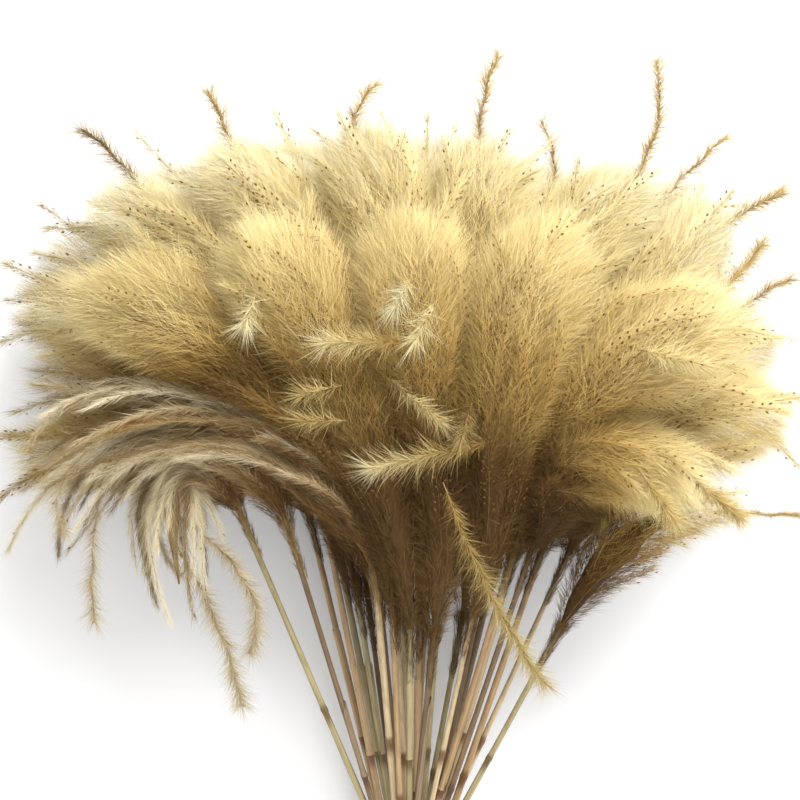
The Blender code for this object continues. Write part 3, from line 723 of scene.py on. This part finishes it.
    def grow_haze(self, count):
        """Silk all through the outer part of the plume, in soft locks."""
        rng, silk = self.rng, self.silk
        girth = self.room.mean(axis=1) + 4.0
        heap = np.concatenate([[0.0], np.cumsum(0.5 * (girth[:-1] + girth[1:]))])
        shares = np.interp(rng.random(count), heap / heap[-1], STATIONS)
        shares = shares * (0.70 if silk is BEIGE else 0.985)
        turns = rng.uniform(0.0, math.tau, count)
        outer = 0.94
        depth = outer - (outer - silk.body) * rng.random(count) ** 1.3
        out = outward(self, shares, turns)
        ahead = unit(along(self.ahead, shares))
        foot = along(self.line, shares) + out * (self.reach(shares, turns) * depth)[:, None]
        lift, turn, tone = (self.sample(table, shares, turns) for table in self.locks)
        lean = rng.normal(silk.lean, silk.spread, count) + 0.14 * lift
        flank = np.cos(turns) ** 2 * (1.0 - shares**3)
        lean = np.clip(lean + 0.9 * silk.lean * flank, -0.2, 1.4)
        lean = lean * (1.0 - 0.6 * shares**5)
        aside = 0.22 * turn + rng.normal(0.0, 0.40, count)
        away = unit(turned(ahead, out, lean) + np.cross(ahead, out) * aside[:, None])
        size = np.minimum(1.0, 0.40 + shares * 2.6) * (1.0 + 0.40 * shares**4)
        length = silk.length * size * rng.uniform(0.6, 1.2, count) * (1.0 + 0.4 * flank)
        # Hairs deeper in the plume are darker: painted shade of its inside.
        level = silk.shade + 0.10 * tone - 0.55 * (outer - depth) * (1.15 - shares)
        bright = rng.random(count) < 0.10
        level += rng.normal(0.0, 0.08, count) + np.where(bright, 0.16, -0.02)
        coarse = np.where(bright, 1.7, 1.0)[:, None]
        place, level = self.paint_hollow_shade(foot, self.pallor_and_shade(foot, shares), level)
        self.add_hairs(foot, away, length, unit(0.55 * out + 0.85 * UP), place, level, coarse)

    def grow_hem(self):
        """Short brown hairs where the plume begins, which thin out down the stem."""
        rng, count = self.rng, HEM_HAIRS
        away = unit(self.line[0] - self.line[2])
        down = HEM_LENGTH * rng.random(count) ** 1.8 - 4.0
        turns = rng.uniform(0.0, math.tau, count)
        out = outward(self, np.zeros(count), turns)
        wide = 1.2 + 2.6 * np.maximum(0.0, 1.0 - down / HEM_LENGTH) ** 2 * rng.random(count)
        foot = self.line[0] + away * down[:, None] + out * wide[:, None]
        ahead = unit(-away + out * rng.uniform(0.05, 0.40, (count, 1)) + rng.normal(0.0, 0.08, (count, 3)))
        level = 0.66 + rng.normal(0.0, 0.16, count)
        self.add_hairs(foot, ahead, rng.uniform(4.0, 9.0, count), out, np.full(count, 0.12), level, 1.3)

    def comb(self, raceme, count):
        """The raceme's hairs, which lean away from it all round and stream to its tip."""
        rng, silk = self.rng, self.silk
        at = rng.uniform(0.02, 1.0, count) ** 0.85
        ahead = unit(along(raceme.ahead, at))
        out = outward(raceme, at, rng.uniform(0.0, math.tau, count))
        lean = np.abs(rng.normal(silk.lean * raceme.open_out, silk.spread, count))
        lean *= 1.0 - (0.55 if raceme.coarse == 1.0 else 0.2) * at**6
        away = unit(turned(ahead, out, lean) + rng.normal(0.0, 0.08, (count, 3)))
        wide = (0.25 + 3.2 * silk.lean) / raceme.open_out**2
        foot = along(raceme.path, at) + out * rng.uniform(0.0, wide, (count, 1))
        size = raceme.silk * np.minimum(1.0, 0.45 + at * 2.0)
        size *= 1.0 - (0.25 if raceme.coarse == 1.0 else -0.2) * at**3
        length = silk.length * size * rng.uniform(0.5, 1.2, count)
        place = np.interp(at, np.linspace(0, 1, len(raceme.place)), raceme.place)
        level = 0.62 + raceme.tint + rng.normal(0.0, 0.12, count)
        facing = unit(0.7 * unit(foot - along(self.line, place)) + 0.4 * out + 0.6 * UP)
        if raceme.coarse == 1.0:
            place, level = self.paint_hollow_shade(foot, self.pallor_and_shade(foot, place), level)
        self.add_hairs(foot, away, length, facing, place, level, raceme.coarse)

    def add_hairs(self, foot, away, length, facing, place, level, coarse):
        """Flat hairs whose broad side looks roughly outwards."""
        rng, count = self.rng, len(foot)
        side = unit(np.cross(away, facing))
        side = turned(side, np.cross(away, side), rng.normal(0.0, 0.6, count))
        normal = unit(facing + rng.normal(0.0, 0.30, (count, 3)))
        inward = np.sum(np.cross(side, away) * normal, axis=1, keepdims=True) < 0
        side = np.where(inward, -side, side)
        half = 0.5 * coarse * HAIR_WIDTH * rng.uniform(0.7, 1.25, (count, 1))
        tip = foot + away * length[:, None]
        points = np.stack([foot - side * half, foot + side * half, tip], axis=1).reshape(-1, 3)
        place = place ** (LATE_POWER if self.number == LATE_PLUME else 1.0)
        low = np.clip(0.11 + 0.66 * place + rng.uniform(-0.05, 0.05, count), 0.01, 0.84)
        # The painted shade on the left of the head is taken off here.
        level = np.clip(level - self.left_shade, *TONES)
        uvs = np.column_stack([low, level])[:, None] + HAIR_SPOT
        self.sheaf.add(points, np.arange(count * 3).reshape(-1, 3), uvs, np.repeat(normal, 3, axis=0))


def outward(line, shares, turns):
    """Directions away from a plume or a raceme, at these shares of it and turns round it."""
    return unit(turned(along(line.side, shares), along(line.up, shares), turns))


# Stems.


def joint_share(number, line):
    """Where the stem's joint is, as a share of its length."""
    lengths = lengths_to(line)
    total = lengths[-1]
    joint = lengths[3] + (total - lengths[3]) * (0.30 + 0.14 * math.sin(3.1 * number))
    return joint / total


def bent(line):
    """A stem's centre line with its bends rounded."""
    return softened(evenly(line, STEM_POINTS))


def stem_piece(number, line, stuff, slot):
    """A straw with its joints, and the torn sheath that some of them still wear."""
    rng = np.random.default_rng(8200 + number)
    sheaf = Sheaf()
    path = bent(line)
    total = length_of(path)
    joint = joint_share(number, line)
    shares = np.linspace(0.0, 1.0, STEM_POINTS)
    shares = np.sort(np.concatenate([shares, joint + np.array([-2.2, -1.0, 0.0, 1.0, 2.2]) / total]))
    path = along(path, shares)
    radius = STEM_RADII[number] * (1 - (1 - STEM_TAPER) * shares)
    radius *= 1.0 + 0.03 * np.sin(shares * 37 + number) + rng.uniform(-0.015, 0.015, len(shares))
    bulge = np.exp(-((shares - joint) * total / 1.5) ** 2)
    radius *= 1.0 + (JOINT_SWELLING - 1.0) * bulge
    mapped = np.interp(shares, [0.0, joint, 1.0], [0.0, 0.5, 1.0])
    sheaf.tube(path, radius, STEM_SIDES, (0.0, 0.0), (0.5, 1.0), caps=True)
    walls = sheaf.uvs[-1][:(len(path) - 1) * STEM_SIDES * 2]
    walls[..., 1] = np.interp(walls[..., 1], np.linspace(0, 1, len(mapped)), mapped)
    if number in SHEATHED:
        add_sheath(sheaf, path, radius, shares, joint, total, rng)
    sheaf.piece(f"straw_{number + 1:02d}", stuff, slot, f"stem_{number + 1:02d}", smooth=True)


def add_sheath(sheaf, path, radius, shares, joint, total, rng):
    """A dry leaf sheath from the joint upwards, open at one side and torn at its end."""
    length = rng.uniform(30, 60) / total
    rows, columns = 16, 10
    stops = np.linspace(joint, min(joint + length, 0.98), rows)
    spots = between(path, shares, stops)
    ahead, side, up = frames(spots)
    turn = rng.uniform(0, 6.3)
    wide = np.linspace(5.6, 3.4, rows)
    turns = turn + np.linspace(-0.5, 0.5, columns)[None, :] * wide[:, None]
    lift = np.interp(stops, shares, radius)[:, None]
    lift = lift + 0.12 + 0.5 * steps(rows) ** 2 + 0.06 * np.cos(turns * 3)
    points = spots[:, None] + turned(side[:, None], up[:, None], turns) * lift[..., None]
    torn = rng.uniform(-3.0, 3.5, columns)
    points[-1] += ahead[-1] * torn[:, None]
    corners = np.meshgrid(np.linspace(0.55, 0.95, columns), np.linspace(0.05, 0.95, rows))
    faces = quads(rows, columns)
    sheaf.add(points.reshape(-1, 3), faces, np.stack(corners, -1).reshape(-1, 2)[faces])


# The tie.


def stems_at(paths, y):
    """Where the stems' centre lines are at this place along the bundle: x and z."""
    return np.array([[np.interp(y, path[:, 1], path[:, axis]) for axis in (0, 2)] for path in paths])


def tight_reach(paths, middle, turns, levels):
    """How far a tight turn of twine is from the middle, in these directions and at these places."""
    facings = np.linspace(0.0, math.tau, 96, endpoint=False)
    out = np.stack([np.cos(facings), np.sin(facings)])
    reach = []
    for turn, y in zip(turns, levels):
        far = ((stems_at(paths, y) - middle) @ out + STEM_RADII[:, None]).max(axis=0)
        towards = np.cos(facings - turn)
        reach.append((far[towards > 0.2] / towards[towards > 0.2]).min())
    return np.array(reach)


def crest(paths, point):
    """How high the stems reach under this point."""
    spots = stems_at(paths, point[1])
    near = np.abs(spots[:, 0] - point[0]) < 5.0
    return spots[near, 1].max() + STEM_RADIUS if near.any() else 0.0


def twisted(sheaf, path):
    """Two plies of twine twisted round each other. Each has its own half of the map."""
    count = max(int(length_of(path) / 0.9), 8)
    path = evenly(path, count)
    _, side, up = frames(path)
    phase = np.linspace(0.0, length_of(path) / PLY_TWIST, count) * math.tau
    for start, left in ((0.0, 0.0), (math.pi, 0.5)):
        strand = path + PLY_RADIUS * 0.82 * turned(side, up, phase + start)
        sheaf.tube(strand, PLY_RADIUS, 6, (left, 0.0), (left + 0.48, 1.0), caps=True)


def twine_piece(stems, stuff):
    """Jute twine wound round the waist, tied in a knot on top, with two loose ends."""
    sheaf = Sheaf()
    paths = [bent(line) for line in stems]
    middle = stems_at(paths, 0.0).mean(axis=0)
    turns = np.linspace(0.0, math.tau * TWINE_TURNS, 72 * TWINE_TURNS)
    y = np.linspace(-1, 1, len(turns)) * (TWINE_TURNS - 1) * TWINE_PITCH / 2
    reach = tight_reach(paths, middle, turns, y)
    reach = np.convolve(np.pad(reach, 2, mode="edge"), np.ones(5) / 5, mode="valid") + TWINE_RADIUS
    path = np.stack([middle[0] + np.cos(turns) * reach, y, middle[1] + np.sin(turns) * reach], -1)
    twisted(sheaf, path)
    knot_at = np.array([middle[0], 0.0, path[:, 2].max() + 1.6])
    t = np.linspace(0.0, math.tau, 40)
    knot = np.stack([np.sin(t) + 1.6 * np.sin(2 * t), np.cos(t) - 1.6 * np.cos(2 * t),
                     1.3 * np.sin(3 * t)], -1)
    twisted(sheaf, knot_at + knot * np.array([1.15, 1.35, 0.9]))
    for turn, bend in ((0.5, 1.0), (-0.9, -1.0)):
        side = np.array([math.sin(turn), math.cos(turn), 0.0])
        aside = np.array([side[1], -side[0], 0.0])
        t = steps(14)
        loose = knot_at + side * TWINE_END * t + aside * bend * 2.0 * np.sin(t * 3.0)
        loose = loose + UP * (2.0 * np.sin(t * 3.1) + 0.8 * t)
        loose[:, 2] = np.maximum(loose[:, 2], [crest(paths, point) + 1.3 for point in loose])
        loose = softened(loose)
        twisted(sheaf, loose)
        fray(sheaf, loose[-1], side, turn)
    fuzz(sheaf, np.concatenate([path, knot_at + knot]))
    sheaf.piece("jute_tie", stuff, "twine_jute", "twine")


def fray(sheaf, end, side, seed, count=26):
    """Fibres that spread from the twine's cut end."""
    rng = np.random.default_rng(int(1000 + seed * 10))
    away = unit(side + rng.normal(0, 0.35, (count, 3)))
    spots = end + rng.normal(0, 0.4, (count, 3))
    blades(sheaf, spots, away, rng.uniform(2.0, 5.0, (count, 1)), rng)


def fuzz(sheaf, path, count=900):
    """Short fibres that stand off the twine."""
    rng = np.random.default_rng(4400)
    spots = path[rng.integers(0, len(path), count)] + rng.normal(0, 0.6, (count, 3))
    away = unit(rng.normal(0, 1.0, (count, 3)))
    blades(sheaf, spots, away, rng.uniform(0.8, 2.6, (count, 1)), rng)


def blades(sheaf, spots, away, lengths, rng):
    """A flat triangle for each fibre."""
    count = len(spots)
    side = unit(np.cross(away, rng.normal(0, 1.0, (count, 3)))) * 0.06
    points = np.stack([spots - side, spots + side, spots + away * lengths], axis=1).reshape(-1, 3)
    faces = np.arange(count * 3).reshape(-1, 3)
    u = rng.uniform(0.02, 0.97, (count, 1, 1))
    v = rng.uniform(0.02, 0.95, (count, 1, 1))
    sheaf.add(points, faces, np.concatenate([u, v], -1) + speck(0.01, 0.02))


# Materials. Each ramp is a list of a place on it and a colour.

SILK_RAMPS = {
    "fluff_gold": (
        (0.0, (0.10, 0.050, 0.015)), (0.18, (0.165, 0.092, 0.030)), (0.36, (0.205, 0.118, 0.033)),
        (0.54, (0.60, 0.395, 0.113)), (0.72, (0.99, 0.825, 0.40)), (0.90, (1.0, 0.97, 0.71)),
    ),
    "fluff_beige": (
        (0.0, (0.10, 0.05, 0.016)), (0.14, (0.26, 0.14, 0.042)), (0.30, (0.58, 0.385, 0.17)),
        (0.52, (0.90, 0.76, 0.48)), (1.0, (1.0, 0.93, 0.72)),
    ),
}
TONE_TINTS = ((0.15, (0.30, 0.22, 0.12)), (0.50, (0.77, 0.72, 0.62)), (0.80, (1.0, 1.0, 1.0)))
HUSKS = ((0.35, (0.11, 0.050, 0.013)), (0.65, (0.27, 0.135, 0.040)))
AXES = ((0.0, (0.20, 0.11, 0.04)), (0.6, (0.45, 0.30, 0.12)), (1.0, (0.62, 0.46, 0.22)))
FIBRES = ((0.25, (0.16, 0.09, 0.035)), (0.5, (0.42, 0.27, 0.12)), (0.8, (0.62, 0.45, 0.24)))

# Each straw's own colour, its dark streaks' and its joint's.
STRAWS = {
    "tan": ((0.46, 0.30, 0.145), (0.26, 0.15, 0.065), (0.40, 0.28, 0.18)),
    "olive": ((0.40, 0.33, 0.165), (0.22, 0.165, 0.07), (0.42, 0.34, 0.20)),
    "dark": ((0.20, 0.125, 0.06), (0.07, 0.04, 0.02), (0.5, 0.4, 0.3)),
    "pale": ((0.60, 0.46, 0.265), (0.36, 0.24, 0.11), (0.35, 0.24, 0.15)),
}


class Stuff:
    """A material, and short ways to add nodes to it."""

    def __init__(self, name, roughness, specular):
        self.material = bpy.data.materials.new(name)
        self.material.use_nodes = True
        self.tree = self.material.node_tree
        self.shader = self.tree.nodes["Principled BSDF"]
        self.shader.inputs["Roughness"].default_value = roughness
        self.shader.inputs["Specular IOR Level"].default_value = specular
        self.map = self.node("ShaderNodeUVMap", uv_map="palette").outputs["UV"]
        parts = self.node("ShaderNodeSeparateXYZ", {0: self.map})
        self.u, self.v = parts.outputs[0], parts.outputs[1]

    def node(self, kind, inputs=None, **settings):
        """A new node. inputs: what goes into it, each a value or what comes out of a node."""
        made = self.tree.nodes.new(kind)
        for name, value in settings.items():
            setattr(made, name, value)
        for name, value in (inputs or {}).items():
            if isinstance(value, bpy.types.NodeSocket):
                self.tree.links.new(value, made.inputs[name])
            else:
                made.inputs[name].default_value = value
        return made

    def ramp(self, source, stops):
        made = self.node("ShaderNodeValToRGB", {0: source})
        elements = made.color_ramp.elements
        while len(elements) < len(stops):
            elements.new(0.5)
        for element, (place, colour) in zip(elements, stops):
            element.position = place
            element.color = (*colour, 1.0)
        return made.outputs["Color"]

    def grey(self, source, stops):
        return self.ramp(source, [(place, (level,) * 3) for place, level in stops])

    def mix(self, factor, one, two, blend="MIX"):
        """The first colour where the factor is 0, and the second, or the blend, where it is 1."""
        inputs = {"Factor": factor, "A": one, "B": two}
        return self.node("ShaderNodeMix", inputs, data_type="RGBA", blend_type=blend).outputs["Result"]

    def times(self, one, two):
        return self.mix(1.0, one, two, "MULTIPLY")

    def below(self, source, limit):
        return self.node("ShaderNodeMath", {0: source, 1: limit}, operation="LESS_THAN").outputs[0]

    def noise(self, stretch, detail=3.0):
        inputs = {"Vector": self.map, "Scale": (*stretch, 1.0)}
        spread = self.node("ShaderNodeMapping", inputs).outputs[0]
        inputs = {"Vector": spread, "Scale": 1.0, "Detail": detail}
        return self.node("ShaderNodeTexNoise", inputs).outputs["Fac"]

    def colour(self, source):
        self.tree.links.new(source, self.shader.inputs["Base Color"])

    def bump(self, source, strength, distance):
        inputs = {"Height": source, "Strength": strength, "Distance": distance}
        made = self.node("ShaderNodeBump", inputs)
        self.tree.links.new(made.outputs["Normal"], self.shader.inputs["Normal"])


def fluff(name, silk):
    """Silk that pales from the plume's foot to its tips, with darker husks and axes."""
    stuff = Stuff(name, roughness=0.5, specular=0.15)
    hairs = stuff.times(stuff.ramp(stuff.u, silk), stuff.ramp(stuff.v, TONE_TINTS))
    streaks = stuff.grey(stuff.noise((40.0, 160.0)), [(0.3, 0.80), (0.7, 1.0)])
    hairs = stuff.times(hairs, streaks)
    husks = stuff.ramp(stuff.noise((60.0, 60.0)), HUSKS)
    axes = stuff.times(stuff.ramp(stuff.u, AXES), streaks)
    dark = stuff.mix(stuff.below(stuff.v, HUSK_BAND), axes, husks)
    stuff.colour(stuff.mix(stuff.below(stuff.v, AXIS_BAND), hairs, dark))
    return stuff.material


def straw(name, base, dark, ring):
    """Straw with long streaks, blotches and a ring at the joint. The map's right is the sheath."""
    stuff = Stuff(name, roughness=0.42, specular=0.5)
    streaks = stuff.noise((90.0, 5.0), 5.0)
    bright = tuple(min(1, 1.25 * c) for c in base)
    body = stuff.ramp(streaks, [(0.25, dark), (0.5, base), (0.8, bright)])
    blotch = stuff.grey(stuff.noise((5.0, 14.0), 4.0), [(0.3, 0.62), (0.55, 1.0)])
    clear = (1, 1, 1)
    rings = [(0.0, (0.8,) * 3), (0.03, clear), (0.482, clear), (0.493, ring), (0.507, ring)]
    rings += [(0.52, clear), (0.9, (0.85,) * 3), (1.0, (0.55,) * 3)]
    body = stuff.times(stuff.times(body, blotch), stuff.ramp(stuff.v, rings))
    pale = tuple(0.8 * c + 0.2 * d for c, d in zip(base, (0.66, 0.52, 0.32)))
    sheath = stuff.ramp(stuff.noise((120.0, 3.0), 5.0), [(0.3, dark), (0.6, pale)])
    stuff.colour(stuff.mix(stuff.below(stuff.u, 0.52), sheath, body))
    stuff.bump(streaks, strength=0.5, distance=0.0004)
    return stuff.material


def jute():
    stuff = Stuff("jute", roughness=0.9, specular=0.15)
    fibres = stuff.noise((60.0, 420.0), 4.0)
    stuff.colour(stuff.ramp(fibres, FIBRES))
    stuff.bump(fibres, strength=0.6, distance=0.0003)
    return stuff.material


def paper():
    """The pale surface the bunch lies on."""
    stuff = Stuff("pale_table", roughness=0.8, specular=0.5)
    mottle = stuff.node("ShaderNodeTexNoise", {"Scale": 6.0}).outputs["Fac"]
    stuff.colour(stuff.grey(mottle, [(0.0, 0.90), (1.0, 0.93)]))
    return stuff.material


# Table, light and camera.


def table():
    far = 4.0
    corners = [(-far, -far, 0), (far, -far, 0), (far, far, 0), (-far, far, 0)]
    mesh = bpy.data.meshes.new("table")
    mesh.from_pydata(corners, [], [(0, 1, 2, 3)])
    mesh.materials.append(paper())
    put("table", mesh)


def area_light(name, place, size, power):
    lamp = bpy.data.lights.new(name, "AREA")
    lamp.shape = "DISK"
    lamp.size = size
    lamp.energy = power
    obj = put(name, lamp)
    obj.location = place
    target = Vector((0.0, 0.08, 0.08))
    obj.rotation_euler = (target - Vector(place)).to_track_quat("-Z", "Y").to_euler()


def studio():
    world = bpy.data.worlds.new("studio")
    world.use_nodes = True
    sky = world.node_tree.nodes["Background"].inputs
    sky["Color"].default_value = (1.0, 1.0, 1.0, 1.0)
    sky["Strength"].default_value = 0.87
    bpy.context.scene.world = world
    area_light("key", place=(0.85, 1.80, 1.95), size=1.7, power=94.0)
    area_light("fill", place=(0.5, -1.0, 2.0), size=1.6, power=12.0)
    bpy.context.scene.view_settings.view_transform = "Standard"


def camera():
    """Looks straight down, so that the photograph's 800 pixels span 400 mm at the head's height."""
    height, distance, width = 90.0, 2200.0, 400.0
    data = bpy.data.cameras.new("camera")
    data.sensor_width = 36.0
    data.lens = 36.0 * distance / width
    data.clip_end = 20.0
    obj = put("camera", data)
    obj.location = (photo_point(MIDDLE_X_PX, MIDDLE_Y_PX, height + distance) + SHIFT) * MM
    bpy.context.scene.camera = obj


def build():
    table()
    studio()
    camera()
    silks = {name: fluff(name, silk) for name, silk in SILK_RAMPS.items()}
    stems = stem_lines()
    for number, stalk in enumerate(STALKS):
        plume = Plume(number, plume_line(stems[number], stalk))
        plume.grow()
        plume.sheaf.piece(f"fluff_{number + 1:02d}", silks[plume.silk.stuff], "plume_fluff",
                          f"plume_{number + 1:02d}", smooth=True)
    straws = [(straw(f"straw_{tone}", *STRAWS[tone]), f"stem_{tone}") for tone in STRAWS]
    for number, line in enumerate(stems):
        stem_piece(number, line, *straws[number * 5 % len(straws)])
    twine_piece(stems, jute())


build()
